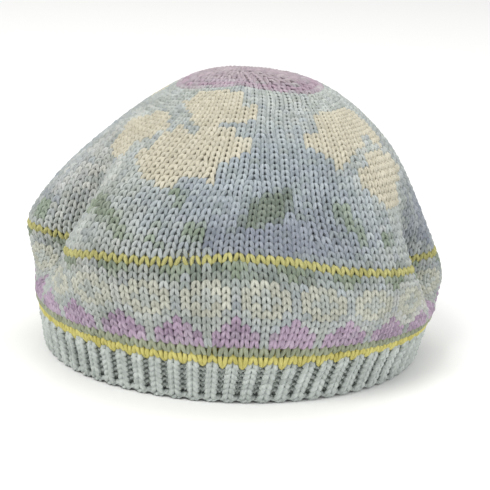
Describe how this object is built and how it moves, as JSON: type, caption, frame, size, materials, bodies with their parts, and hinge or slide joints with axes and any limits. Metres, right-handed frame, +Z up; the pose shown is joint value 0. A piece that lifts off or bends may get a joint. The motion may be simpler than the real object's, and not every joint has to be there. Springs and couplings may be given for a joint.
{
  "type": "knit beret",
  "caption": "Soft knitted beret with a ribbed head band, a slouching patterned body and a gathered crown, open below for a head.",
  "frame": {"origin": "on the surface that the hat stands on, below the middle of its box", "axes": "+Z up through the crown, -Y towards the side that the picture shows, +X to the right in the picture"},
  "size_m": [0.195, 0.201, 0.131],
  "materials": {
    "rib_wool": "matt wool, one by one rib",
    "patterned_wool": "matt wool, stranded colour knitting"
  },
  "bodies": {
    "root": {"rib_band": "rib_wool", "crown": "patterned_wool"}
  },
  "joints": []
}
